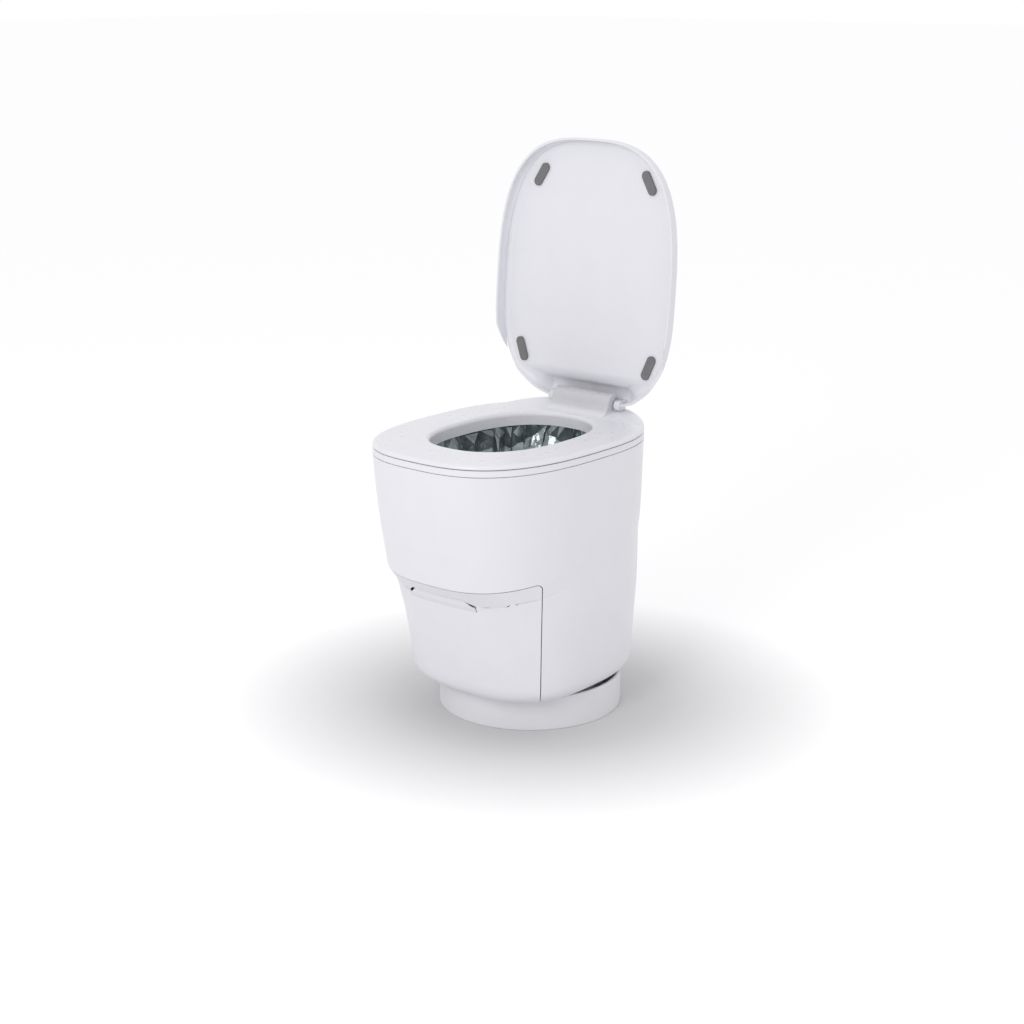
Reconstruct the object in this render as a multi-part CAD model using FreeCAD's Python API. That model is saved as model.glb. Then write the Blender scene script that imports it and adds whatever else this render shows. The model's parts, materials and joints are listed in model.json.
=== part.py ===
import FreeCAD
import Part
import math
import os

# Sealing toilet with a round floor adapter, a lidded seat, a film liner that a
# pair of jaws welds shut, and a waste drawer. Millimetres, +Z up, front at -Y.
# The origin is on the floor, at the middle of the round adapter.

V = FreeCAD.Vector

# Plan oval shared by the shell, the band, the seat and the lid
HALF_WIDTH = 192.5
FRONT_REACH = 270.5
REAR_REACH = 224.5
OVAL_Y = -35.5
FRONT_POWER = 2.8
REAR_POWER = 2.68
OVAL_POINTS = 48

# Stations of the lofts: turns of a rounded edge and shares of a wall's height
EDGE_TURNS = (0, 30, 60, 90)
FOOT_TURNS = (0, 22.5, 45, 67.5, 90)
UPPER_SHARES = (0.6, 0.3, 0.0)
LOWER_SHARES = (0.7, 0.4, 0.17)

# Outer shell
SHELL_WALL = 4.0
SHELL_BOTTOM_Z = 63.0
SHELL_TOP_Z = 494.0
SIDE_BOTTOM_RADIUS = 31.0
FRONT_BOTTOM_RADIUS = 26.0
SEAM_Z = 284.0
SEAM_TILT = 0.14
SEAM_SIDE_INSET = 6.3
SEAM_FRONT_INSET = 33.0
CREASE_Z = 251.0
CREASE_TILT = 0.21
CREASE_SIDE_INSET = 7.0
CREASE_FRONT_INSET = 60.0
FOOT_SIDE_INSET = 16.0
FOOT_FRONT_INSET = 101.0
UPPER_CURVE = 1.35
LOWER_CURVE = 0.67

# Drawer front
DOOR_ANGLE = 44.7
DOOR_GAP = 1.4
DOOR_CORNER_RADIUS = 12.0
LIP_RISE = 11.0
LIP_HALF_WIDTH = 50.0
LIP_RAMP = 24.0
LIP_WALL = 2.8
LIP_FOOT = 9.5
LIP_FOOT_RUN = 6.3
LIP_SLOPE = 0.4
LIP_SWEEP = 500.0
WINDOW_SIDE_GAP = 2.0
WINDOW_TOP_GAP = 3.0
WINDOW_EASE_GAP = 1.0
WINDOW_HEAD_GAP = 6.0
WINDOW_DEPTH_SHARE = 1.5
GRIP_DEPTH = 20.0
GRIP_FLOOR = 3.5
GRIP_HEAD_RUN = 5.5
GRIP_HEAD_RISE = 15.5
GRIP_WALL = 2.5
GRIP_LAP = 1.4
GRIP_BRACKET_WIDTH = 40.0
GRIP_BRACKET_Z = 226.0

# Floor adapter and swivel
ADAPTER_RADIUS = 166.7
ADAPTER_HEIGHT = 61.0
ADAPTER_WALL = 5.0
ADAPTER_EDGE = 1.5
FLANGE_THICKNESS = 6.0
FLOOR_HOLE_PCD = 240.0
FLOOR_HOLE_RADIUS = 3.3
FLOOR_HOLE_COUNT = 4
HUB_RADIUS = 50.0
CABLE_BORE_RADIUS = 30.0
HUB_TOP_Z = 76.0
SLIDE_RING_RADIUS = 116.0
SLIDE_RING_WIDTH = 14.0
SLIDE_RING_THICKNESS = 6.0
BOTTOM_PLATE_THICKNESS = 5.0
RETAINER_RADIUS = 64.0

# Band, seat and hinge deck
SEAM_GAP = 0.8
LIFT_GAP = 1.5
BAND_HEIGHT = 11.0
BAND_EDGE = 0.8
SPIGOT_DEPTH = 9.0
SPIGOT_WALL = 5.0
SEAT_THICKNESS = 8.0
SEAT_EDGE_RADIUS = 6.5
REAR_RISE_Y = 120.0
REAR_SLOPE = 0.2
REAR_INSET = 0.05
HOLE_HALF_WIDTH = 112.5
HOLE_REACH = 162.0
HOLE_Y = -51.0
HOLE_POWER = 2.4
HOLE_EDGE_RADIUS = 8.0
SKIRT_WALL = 4.0
SKIRT_DEPTH = 25.0
SKIRT_GAP = 4.0
DECK_SPLIT_Y = 165.5
DECK_GAP = 0.8
BUFFER_RADIUS = 7.0
BUFFER_POCKET = 2.0

# Hinge
HINGE_Y = 161.0
HINGE_Z = 534.0
PIN_RADIUS = 4.0
KNUCKLE_RADIUS = 20.0
RAMP_RADIUS = 26.0
RAMP_HALF_WIDTH = 65.0
RAMP_WALL = 3.0
EYE_RADIUS = 9.0
ARM_INNER_X = 69.0
ARM_THICKNESS = 12.0
POST_X = 34.0
POST_THICKNESS = 12.0
PIN_CAP_RADIUS = 7.0
PIN_CAP_THICKNESS = 3.0
DAMPER_RADIUS = 11.0
DAMPER_GAP = 1.0

# Lid, drawn closed and then swung open
LID_OPEN_ANGLE = 94.7
LID_CLEARANCE = 1.5
LID_WALL = 4.0
LID_FRONT_POWER = 2.98
LID_REAR_POWER = 2.89
LID_REAR_REACH = 202.5
LID_RIM_Z = 496.0
LID_PANEL_THICKNESS = 4.0
LID_OUTER_RADIUS = 18.0
LID_HUMP_START_Y = 103.0
LID_HUMP_END_Y = 151.0
LID_HUMP_RISE = 38.5
LID_TRIM_START_Y = 40.0
LID_TRIM_END_Y = 90.0
LID_TRIM_RISE = 21.0
BUMPER_HEIGHT = 4.0
BUMPER_LENGTH = 46.0
BUMPER_WIDTH = 17.0
FRONT_BUMPER_X = 121.0
FRONT_BUMPER_Y = -241.0
FRONT_BUMPER_ANGLE = 31.0
REAR_BUMPER_X = 145.5
REAR_BUMPER_Y = 82.0
REAR_BUMPER_ANGLE = -22.0

# Film cassette, bowl and liner
FLANGE_GAP = 0.4
CASSETTE_FLOOR_Z = 454.0
CASSETTE_HEIGHT = 37.0
CASSETTE_WALL = 2.5
CASSETTE_INNER_OFFSET = 9.0
CASSETTE_OUTER_OFFSET = 44.0
STACK_HEIGHT = 28.0
FUNNEL_WALL = 3.0
FUNNEL_FLANGE = 4.0
FUNNEL_BOTTOM_Z = 336.0
FUNNEL_THROAT_HALF_WIDTH = 86.0
FUNNEL_THROAT_REACH = 24.0
LINER_WALL = 1.0
LINER_GAP = 1.5
LINER_END_Z = 290.0
LINER_END_HALF_WIDTH = 80.0
LINER_END_REACH = 4.0

# Inner chassis
DECK_PLATE_TOP_Z = 250.0
DECK_PLATE_THICKNESS = 6.0
DECK_PLATE_HALF_WIDTH = 150.0
DECK_PLATE_FRONT_Y = -150.0
DECK_PLATE_REAR_Y = 100.0
DROP_HALF_WIDTH = 100.0
DROP_REACH = 40.0
COLUMN_SIZE = 10.0
COLUMN_X = 139.0
COLUMN_FRONT_Y = -100.0
COLUMN_REAR_Y = 40.0

# Sealing unit
FILM_Y = -55.0
SEALER_HALF_WIDTH = 118.0
SEALER_FRONT_Y = -130.0
SEALER_REAR_Y = 50.0
SEALER_HEIGHT = 80.0
SEALER_WALL = 6.0
JAW_HALF_WIDTH = 105.0
JAW_DEPTH = 18.0
JAW_HEIGHT = 22.0
JAW_Z = 276.0
JAW_STEM_X = 70.0
JAW_STEM_WIDTH = 20.0
HEATER_THICKNESS = 1.0
HEATER_HEIGHT = 6.0
HEATER_HALF_WIDTH = 84.0
PAD_THICKNESS = 2.0
PAD_HEIGHT = 10.0
CLOSED_GAP = 0.5
ROD_RADIUS = 5.0
ROD_X = 96.0
SCREW_RADIUS = 5.0
SCREW_LEAD = 4.0
SCREW_TURNS = 8.5
RUN_CLEARANCE = 0.06
GEAR_MODULE = 1.5
TOOTH_TIP = 0.9
TOOTH_ROOT = 1.2
TOOTH_TIP_SHARE = 0.1
TOOTH_FOOT_SHARE = 0.34
NUT_TEETH = 30
PINION_TEETH = 10
GEAR_WIDTH = 8.0
NUT_HUB_RADIUS = 12.0
GEAR_COVER_WALL = 3.0
GEAR_COVER_GAP = 2.0
MOTOR_RADIUS = 18.0
MOTOR_LENGTH = 46.0
MOTOR_SHAFT_RADIUS = 3.0

# Film feed wheels
FEED_Z = 308.0
WHEEL_RADIUS = 19.6
WHEEL_WIDTH = 12.0
WHEEL_X = 98.0
FEED_PITCH = 40.0
FEED_TEETH = 20
SHAFT_RADIUS = 4.0
BUSH_RADIUS = 7.0
FEED_GEAR_WIDTH = 7.0

# Waste drawer
TUB_HALF_WIDTH = 118.0
TUB_FRONT_Y = -188.0
TUB_REAR_Y = 95.0
TUB_BOTTOM_Z = 88.0
TUB_TOP_Z = 236.0
TUB_WALL = 2.5
TUB_CORNER = 34.0
RAIL_Z = 160.0
RAIL_HEIGHT = 14.0
RAIL_THICKNESS = 7.0
RAIL_REAR_Y = 125.0
RUNNER_FRONT_Y = -165.0
RUNNER_GAP = 0.5
RUNNER_LIP = 3.0
STANDOFF_RADIUS = 9.0
STANDOFF_X = 70.0
STANDOFF_LOW_Z = 120.0
STANDOFF_HIGH_Z = 205.0
MAGNET_RADIUS = 8.0
MAGNET_THICKNESS = 4.0
CATCH_GAP = 0.3

# Electrics at the rear
BOX_HALF_WIDTH = 60.0
BOX_DEPTH = 24.0
BOX_BOTTOM_Z = 110.0
BOX_TOP_Z = 205.0
BOX_WALL = 2.5
BOARD_THICKNESS = 1.6
BOARD_STANDOFF = 6.0
INLET_X = 70.0
INLET_Z = 122.0
INLET_RADIUS = 8.0
INLET_FLANGE_RADIUS = 13.0
INLET_FLANGE_THICKNESS = 3.0
INLET_LENGTH = 26.0
INLET_SOCKET_RADIUS = 4.0

# Levels and places that follow from the sizes above
FLAT_FIT = 0.3
BAND_BOTTOM_Z = SHELL_TOP_Z + SEAM_GAP
BAND_TOP_Z = BAND_BOTTOM_Z + BAND_HEIGHT
SEAT_BOTTOM_Z = BAND_TOP_Z + LIFT_GAP
SEAT_TOP_Z = SEAT_BOTTOM_Z + SEAT_THICKNESS
LID_PANEL_Z = SEAT_TOP_Z + FLAT_FIT + BUMPER_HEIGHT
LID_GROWTH = LID_CLEARANCE + LID_WALL
SCREW_TRAVEL = SCREW_LEAD * SCREW_TURNS
FRONT_Y = OVAL_Y - FRONT_REACH
REAR_Y = OVAL_Y + REAR_REACH
FAR = 600.0


def box(x0, x1, y0, y1, z0, z1):
    """Box between two corners."""
    return Part.makeBox(x1 - x0, y1 - y0, z1 - z0, V(x0, y0, z0))


def rod_x(radius, x0, x1, y, z):
    """Round bar along X."""
    return Part.makeCylinder(radius, x1 - x0, V(x0, y, z), V(1, 0, 0))


def rod_y(radius, y0, y1, x, z):
    """Round bar along Y."""
    return Part.makeCylinder(radius, y1 - y0, V(x, y0, z), V(0, 1, 0))


def rod_z(radius, z0, z1, x=0.0, y=0.0):
    """Round bar along Z."""
    return Part.makeCylinder(radius, z1 - z0, V(x, y, z0))


def ring_z(outer, inner, z0, z1):
    """Plain ring around the Z axis."""
    return rod_z(outer, z0, z1).cut(rod_z(inner, z0, z1))


def fuse_all(shapes):
    """Join several solids into one."""
    return shapes[0].multiFuse(shapes[1:]) if len(shapes) > 1 else shapes[0]


def side_profile(points, x0, x1):
    """Straight-sided outline of (y, z) points, drawn out along X."""
    corners = [V(x0, y, z) for y, z in points]
    face = Part.Face(Part.makePolygon(corners + corners[:1]))
    return face.extrude(V(x1 - x0, 0, 0))


def oval(half_width, front, rear, z, tilt=0.0, tilt_y=0.0, centre_y=OVAL_Y,
         front_power=FRONT_POWER, rear_power=REAR_POWER):
    """Closed egg-shaped wire, on a plane that may climb towards the rear."""
    points = []
    for step in range(OVAL_POINTS):
        turn = 2 * math.pi * step / OVAL_POINTS
        reach = rear if math.sin(turn) > 0 else front
        power = rear_power if math.sin(turn) > 0 else front_power
        spread = abs(math.cos(turn) / half_width) ** power + abs(math.sin(turn) / reach) ** power
        radius = spread ** (-1.0 / power)
        x = radius * math.cos(turn)
        y = centre_y + radius * math.sin(turn)
        points.append(V(x, y, z + tilt * (y - tilt_y)))
    curve = Part.BSplineCurve()
    stations = [step / OVAL_POINTS for step in range(OVAL_POINTS + 1)]
    curve.interpolate(Points=points, PeriodicFlag=True, Parameters=stations)
    return Part.Wire(curve.toShape())


def plan(inset, z):
    """Plan oval of the seat and band, drawn in by an inset."""
    return oval(HALF_WIDTH - inset, FRONT_REACH - inset, REAR_REACH - inset, z)


def sloped_plan(inset, z):
    """Plan oval of the seat on the plane that climbs towards the hinge."""
    return oval(HALF_WIDTH - inset, FRONT_REACH - inset, REAR_REACH - inset, z, REAR_SLOPE, REAR_RISE_Y)


def behind_rise(shape, low):
    """What lies above a height, from the start of the climb to the rear."""
    return shape.common(box(-FAR, FAR, REAR_RISE_Y - LIFT_GAP, FAR, low, FAR))


def hole_plan(grow, z):
    """Oval of the seat opening, grown outwards."""
    reach = HOLE_REACH + grow
    return oval(HOLE_HALF_WIDTH + grow, reach, reach, z, centre_y=HOLE_Y,
                front_power=HOLE_POWER, rear_power=HOLE_POWER)


def loft(wires, ruled=False):
    """Solid through a stack of wires."""
    return Part.makeLoft(wires, True, ruled)


def shell_level(z, side, front, tilt=0.0, tilt_y=0.0):
    """One level of the shell, from its side and front insets."""
    return oval(HALF_WIDTH - side, FRONT_REACH - front, REAR_REACH - side, z, tilt, tilt_y)


def seam_level(wall):
    """Level of the seam over the drawer front."""
    return shell_level(SEAM_Z, SEAM_SIDE_INSET + wall, SEAM_FRONT_INSET + wall,
                       SEAM_TILT, FRONT_Y + SEAM_FRONT_INSET)


def crease_level(wall):
    """Level where the sloping shoulder meets the lower body."""
    return shell_level(CREASE_Z, CREASE_SIDE_INSET + wall, CREASE_FRONT_INSET + wall,
                       CREASE_TILT, FRONT_Y + CREASE_FRONT_INSET)


def shell_body(wall):
    """Whole body of the shell as a solid, drawn in by a wall."""
    top_z = SHELL_TOP_Z + wall
    upper = [seam_level(wall)]
    for share in UPPER_SHARES:
        z = SHELL_TOP_Z - share * (SHELL_TOP_Z - SEAM_Z)
        upper.append(shell_level(z, SEAM_SIDE_INSET * share + wall,
                                 SEAM_FRONT_INSET * share ** UPPER_CURVE + wall))
    solids = [loft(upper), loft([crease_level(wall), seam_level(wall)], True)]
    if wall:
        solids.append(loft([shell_level(SHELL_TOP_Z, wall, wall), shell_level(top_z, wall, wall)], True))
    lower = []
    for angle in FOOT_TURNS:
        sunk = 1 - math.sin(math.radians(angle))
        lift = 1 - math.cos(math.radians(angle))
        side_radius = SIDE_BOTTOM_RADIUS - wall
        front_radius = FRONT_BOTTOM_RADIUS - wall
        lower.append(shell_level(SHELL_BOTTOM_Z + wall + side_radius * lift,
                                 FOOT_SIDE_INSET + wall + side_radius * sunk,
                                 FOOT_FRONT_INSET + wall + front_radius * sunk))
    foot_z = SHELL_BOTTOM_Z + SIDE_BOTTOM_RADIUS
    for share in LOWER_SHARES:
        z = CREASE_Z - share * (CREASE_Z - foot_z)
        bend = share ** LOWER_CURVE
        lower.append(shell_level(z, CREASE_SIDE_INSET + (FOOT_SIDE_INSET - CREASE_SIDE_INSET) * share + wall,
                                 CREASE_FRONT_INSET + (FOOT_FRONT_INSET - CREASE_FRONT_INSET) * bend + wall))
    lower.append(crease_level(wall))
    solids.append(loft(lower))
    return fuse_all(solids)


def bottom_plan(inset, z):
    """Flat outline inside the rounded bottom edge."""
    return shell_level(z, FOOT_SIDE_INSET + SIDE_BOTTOM_RADIUS + inset,
                       FOOT_FRONT_INSET + FRONT_BOTTOM_RADIUS + inset)


def door_wedge(gap):
    """Sector that the drawer front fills, with rounded top corners."""
    slope = math.radians(DOOR_ANGLE)
    tip_y = -gap / math.sin(slope)
    wide = FAR * math.tan(slope)
    corners = [V(0, tip_y, 0), V(-wide, tip_y - FAR, 0), V(wide, tip_y - FAR, 0)]
    wedge = Part.Face(Part.makePolygon(corners + corners[:1])).extrude(V(0, 0, FAR))
    seam_y = FRONT_Y + SEAM_FRONT_INSET
    near_z = SEAM_Z - gap + SEAM_TILT * (tip_y - seam_y)
    far_z = SEAM_Z - gap + SEAM_TILT * (tip_y - FAR - seam_y)
    under = side_profile([(tip_y, 0), (tip_y, near_z), (tip_y - FAR, far_z), (tip_y - FAR, 0)], -wide, wide)
    wedge = wedge.common(under)
    edges = []
    for edge in wedge.Edges:
        ends = sorted(edge.Vertexes, key=lambda corner: corner.Y)
        top_edge = min(corner.Z for corner in ends) > CREASE_Z / 2
        if top_edge and ends[-1].Y > tip_y - 1 and ends[0].Y < tip_y - FAR / 2:
            edges.append(edge)
    return wedge.makeFillet(DOOR_CORNER_RADIUS - gap, edges)


def save(name, shape):
    """Write one piece."""
    shape.exportStep("parts/" + name + ".step")


def gear(teeth, module, width, bore, half_turn):
    """Spur wheel on the Z axis with straight-flanked teeth."""
    pitch = module * teeth / 2
    tip = pitch + TOOTH_TIP * module
    root = pitch - TOOTH_ROOT * module
    step = 2 * math.pi / teeth
    start = step / 2 if half_turn else 0.0
    corners = []
    for tooth in range(teeth):
        middle = start + tooth * step
        for radius, offset in ((root, -TOOTH_FOOT_SHARE), (tip, -TOOTH_TIP_SHARE),
                               (tip, TOOTH_TIP_SHARE), (root, TOOTH_FOOT_SHARE)):
            turn = middle + offset * step
            corners.append(V(radius * math.cos(turn), radius * math.sin(turn), 0))
    blank = Part.Face(Part.makePolygon(corners + corners[:1])).extrude(V(0, 0, width))
    return blank.cut(rod_z(bore, -1, width + 1))


def along_y(shape, x, y, z):
    """Turn a shape built on Z to lie along Y, and place it."""
    shape.rotate(V(0, 0, 0), V(1, 0, 0), -90)
    shape.translate(V(x, y, z))
    return shape


def along_x(shape, x, y, z):
    """Turn a shape built on Z to lie along X, and place it."""
    shape.rotate(V(0, 0, 0), V(0, 1, 0), 90)
    shape.translate(V(x, y, z))
    return shape


def make_adapter():
    """Round floor adapter: skirt, screw flange, hub and the seat of the slide ring."""
    skirt = rod_z(ADAPTER_RADIUS, 0, ADAPTER_HEIGHT)
    rims = [edge for edge in skirt.Edges if isinstance(edge.Curve, Part.Circle)]
    skirt = skirt.makeFillet(ADAPTER_EDGE, rims)
    skirt = skirt.cut(rod_z(ADAPTER_RADIUS - ADAPTER_WALL, FLANGE_THICKNESS, ADAPTER_HEIGHT))
    seat_top = SHELL_BOTTOM_Z - SLIDE_RING_THICKNESS
    seat = ring_z(SLIDE_RING_RADIUS + SLIDE_RING_WIDTH / 2, SLIDE_RING_RADIUS - SLIDE_RING_WIDTH / 2,
                  0, seat_top)
    adapter = fuse_all([skirt, seat, rod_z(HUB_RADIUS, 0, HUB_TOP_Z)])
    adapter = adapter.cut(rod_z(CABLE_BORE_RADIUS, -1, HUB_TOP_Z + 1))
    for index in range(FLOOR_HOLE_COUNT):
        turn = 2 * math.pi * (index + 0.5) / FLOOR_HOLE_COUNT
        hole_x = FLOOR_HOLE_PCD / 2 * math.cos(turn)
        hole_y = FLOOR_HOLE_PCD / 2 * math.sin(turn)
        adapter = adapter.cut(rod_z(FLOOR_HOLE_RADIUS, -1, seat_top + 1, hole_x, hole_y))
    return adapter


def make_swivel():
    """Slide ring under the body and the retainer that holds the body down."""
    ring = ring_z(SLIDE_RING_RADIUS + SLIDE_RING_WIDTH / 2, SLIDE_RING_RADIUS - SLIDE_RING_WIDTH / 2,
                  SHELL_BOTTOM_Z - SLIDE_RING_THICKNESS, SHELL_BOTTOM_Z)
    low = SHELL_BOTTOM_Z + BOTTOM_PLATE_THICKNESS + FLAT_FIT
    retainer = ring_z(RETAINER_RADIUS, HUB_RADIUS + RUN_CLEARANCE, low, HUB_TOP_Z)
    return ring, retainer


def make_shell(walls):
    """Main shell, open at the drawer and holed for the power inlet."""
    shell = walls.cut(door_wedge(0.0))
    inlet = rod_y(INLET_RADIUS + FLAT_FIT, 0, REAR_Y + FAR, INLET_X, INLET_Z)
    return shell.cut(inlet)


def make_bottom_plate():
    """Floor of the body, turning on the adapter's hub."""
    top = SHELL_BOTTOM_Z + BOTTOM_PLATE_THICKNESS
    plate = loft([bottom_plan(FLAT_FIT, SHELL_BOTTOM_Z), bottom_plan(FLAT_FIT, top)], True)
    return plate.cut(rod_z(HUB_RADIUS + RUN_CLEARANCE, SHELL_BOTTOM_Z - 1, top + 1))


def front_profile(points, y0, y1):
    """Straight-sided outline of (x, z) points, drawn out along Y."""
    corners = [V(x, y0, z) for x, z in points]
    face = Part.Face(Part.makePolygon(corners + corners[:1]))
    return face.extrude(V(0, y1 - y0, 0))


def lip_outline():
    """Front view of the pull lip: a low bar with eased ends, drawn through the wall."""
    low = CREASE_Z - LIP_FOOT
    high = CREASE_Z + LIP_RISE
    outer = LIP_HALF_WIDTH + LIP_RAMP
    ease = LIP_RAMP / 2
    edges = []
    for side in (-1, 1):
        foot = V(side * outer, 0, CREASE_Z)
        head = V(side * LIP_HALF_WIDTH, 0, high)
        curve = Part.BezierCurve()
        curve.setPoles([foot, foot - V(side * ease, 0, 0), head + V(side * ease, 0, 0), head])
        edges.append(curve.toShape())
        edges.append(Part.LineSegment(foot, V(side * outer, 0, low)).toShape())
    for z, reach in ((low, outer), (high, LIP_HALF_WIDTH)):
        edges.append(Part.LineSegment(V(-reach, 0, z), V(reach, 0, z)).toShape())
    face = Part.Face(Part.Wire(Part.__sortEdges__(edges)))
    return face.extrude(V(0, FRONT_Y, 0))


def make_drawer_front(walls):
    """Drawer front with a window across its crease for the pull, and bosses for the tub."""
    front = walls.common(door_wedge(DOOR_GAP))
    side = LIP_HALF_WIDTH + LIP_RAMP + WINDOW_SIDE_GAP
    right = [(side, CREASE_Z - LIP_FOOT), (side, CREASE_Z + WINDOW_EASE_GAP),
             (LIP_HALF_WIDTH + WINDOW_HEAD_GAP, CREASE_Z + LIP_RISE + WINDOW_TOP_GAP)]
    left = [(-x, z) for x, z in reversed(right)]
    back_y = FRONT_Y + CREASE_FRONT_INSET + WINDOW_DEPTH_SHARE * GRIP_DEPTH
    front = front.cut(front_profile(right + left, FRONT_Y, back_y))
    middle = shell_body(SHELL_WALL / 2)
    for x in (-STANDOFF_X, STANDOFF_X):
        for z in (STANDOFF_LOW_Z, STANDOFF_HIGH_Z):
            front = front.fuse(rod_y(STANDOFF_RADIUS, FRONT_Y, TUB_FRONT_Y, x, z).common(middle))
    return front


def make_pull():
    """Pull in the drawer front's window: lip, finger groove behind it, and a bracket from the tub."""
    crease_y = FRONT_Y + CREASE_FRONT_INSET
    centre = V(0, crease_y + LIP_SWEEP, 0)
    reach = math.degrees(math.asin((LIP_HALF_WIDTH + LIP_RAMP + WINDOW_SIDE_GAP) / LIP_SWEEP))
    def swept(points):
        corners = [V(0, crease_y + y, CREASE_Z + climb) for y, climb in points]
        section = Part.Face(Part.makePolygon(corners + corners[:1]))
        section.rotate(centre, V(0, 0, 1), -reach)
        return section.revolve(centre, V(0, 0, 1), 2 * reach)
    lean = LIP_RISE * LIP_SLOPE
    lip = swept([(LIP_FOOT_RUN, -LIP_FOOT), (0, 0), (-lean, LIP_RISE), (LIP_WALL - lean, LIP_RISE),
                 (LIP_WALL, 0), (LIP_WALL + LIP_FOOT_RUN, -LIP_FOOT)]).common(lip_outline())
    deep = GRIP_DEPTH + GRIP_WALL
    floor = GRIP_FLOOR + GRIP_WALL
    groove = swept([(-GRIP_HEAD_RUN, GRIP_HEAD_RISE), (GRIP_DEPTH, -GRIP_FLOOR), (LIP_FOOT_RUN, -GRIP_FLOOR),
                    (LIP_FOOT_RUN, -floor), (deep, -floor), (deep, -GRIP_FLOOR),
                    (GRIP_WALL - GRIP_HEAD_RUN, GRIP_HEAD_RISE + GRIP_LAP)])
    half = GRIP_BRACKET_WIDTH / 2
    web = box(-half, half, crease_y + GRIP_DEPTH, crease_y + deep, GRIP_BRACKET_Z, CREASE_Z - GRIP_FLOOR)
    foot = box(-half, half, crease_y + GRIP_DEPTH, TUB_FRONT_Y, GRIP_BRACKET_Z, GRIP_BRACKET_Z + GRIP_WALL)
    return fuse_all([lip, groove, web, foot])


def make_tub():
    """Open waste tub."""
    tub = box(-TUB_HALF_WIDTH, TUB_HALF_WIDTH, TUB_FRONT_Y, TUB_REAR_Y, TUB_BOTTOM_Z, TUB_TOP_Z)
    uprights = [edge for edge in tub.Edges if abs(edge.tangentAt(edge.FirstParameter).z) > 0.99]
    tub = tub.makeFillet(TUB_CORNER, uprights)
    inside = box(-TUB_HALF_WIDTH + TUB_WALL, TUB_HALF_WIDTH - TUB_WALL, TUB_FRONT_Y + TUB_WALL,
                 TUB_REAR_Y - TUB_WALL, TUB_BOTTOM_Z + TUB_WALL, TUB_TOP_Z + 1)
    uprights = [edge for edge in inside.Edges if abs(edge.tangentAt(edge.FirstParameter).z) > 0.99]
    return tub.cut(inside.makeFillet(TUB_CORNER - TUB_WALL, uprights))


def make_runner(side):
    """Fixed runner on the columns and the rail on the tub, on one side."""
    rail_in = TUB_HALF_WIDTH
    rail_out = rail_in + RAIL_THICKNESS
    rail = box(rail_in, rail_out, TUB_FRONT_Y + TUB_CORNER, RAIL_REAR_Y,
               RAIL_Z - RAIL_HEIGHT / 2, RAIL_Z + RAIL_HEIGHT / 2)
    low = RAIL_Z - RAIL_HEIGHT / 2 - RUNNER_GAP
    high = RAIL_Z + RAIL_HEIGHT / 2 + RUNNER_GAP
    y0 = RUNNER_FRONT_Y
    y1 = COLUMN_REAR_Y + COLUMN_SIZE / 2
    runner = box(rail_in + RUNNER_LIP, COLUMN_X - COLUMN_SIZE / 2, y0, y1,
                 low - RUNNER_LIP, high + RUNNER_LIP)
    runner = runner.cut(box(0, rail_out + RUNNER_GAP, y0 - 1, y1 + 1, low, high))
    if side < 0:
        rail = rail.mirror(V(0, 0, 0), V(1, 0, 0))
        runner = runner.mirror(V(0, 0, 0), V(1, 0, 0))
    return runner, rail


def make_band():
    """Band between the two seams, with a spigot inside the shell."""
    levels = [plan(BAND_EDGE, BAND_BOTTOM_Z), plan(0, BAND_BOTTOM_Z + BAND_EDGE),
              plan(0, BAND_TOP_Z - BAND_EDGE), plan(BAND_EDGE, BAND_TOP_Z)]
    band = loft(levels, True)
    fit = SHELL_WALL + FLAT_FIT + SEAM_GAP
    spigot_low = SHELL_TOP_Z - SPIGOT_DEPTH
    spigot = loft([plan(fit, spigot_low), plan(fit, BAND_BOTTOM_Z)], True)
    bore = loft([plan(fit + SPIGOT_WALL, spigot_low), plan(fit + SPIGOT_WALL, BAND_BOTTOM_Z)], True)
    opening = SKIRT_WALL + SKIRT_GAP
    hole = loft([hole_plan(opening, spigot_low), hole_plan(opening, BAND_TOP_Z + 1)], True)
    return band.fuse(spigot.cut(bore)).cut(hole)


def seat_blank():
    """Seat outline with its rounded top edge, before the opening is cut."""
    levels = [plan(BAND_EDGE, SEAT_BOTTOM_Z), plan(0, SEAT_BOTTOM_Z + BAND_EDGE)]
    low = loft(levels, True)
    edge_z = SEAT_TOP_Z - SEAT_EDGE_RADIUS
    middle = loft([plan(0, SEAT_BOTTOM_Z + BAND_EDGE), plan(0, edge_z)], True)
    rounded = []
    climbing = []
    for angle in EDGE_TURNS:
        turn = math.radians(angle)
        inset = SEAT_EDGE_RADIUS * (1 - math.cos(turn))
        rounded.append(plan(inset, edge_z + SEAT_EDGE_RADIUS * math.sin(turn)))
        climbing.append(sloped_plan(inset + REAR_INSET, edge_z + SEAT_EDGE_RADIUS * math.sin(turn)))
    rise = loft([plan(REAR_INSET, 0.0), sloped_plan(REAR_INSET, edge_z)], True).fuse(loft(climbing))
    rise = behind_rise(rise, SEAT_BOTTOM_Z + BAND_EDGE)
    rise = rise.cut(box(-RAMP_HALF_WIDTH, RAMP_HALF_WIDTH, HINGE_Y, FAR, SEAT_TOP_Z, FAR))
    return fuse_all([low, middle, loft(rounded), rise])


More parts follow.
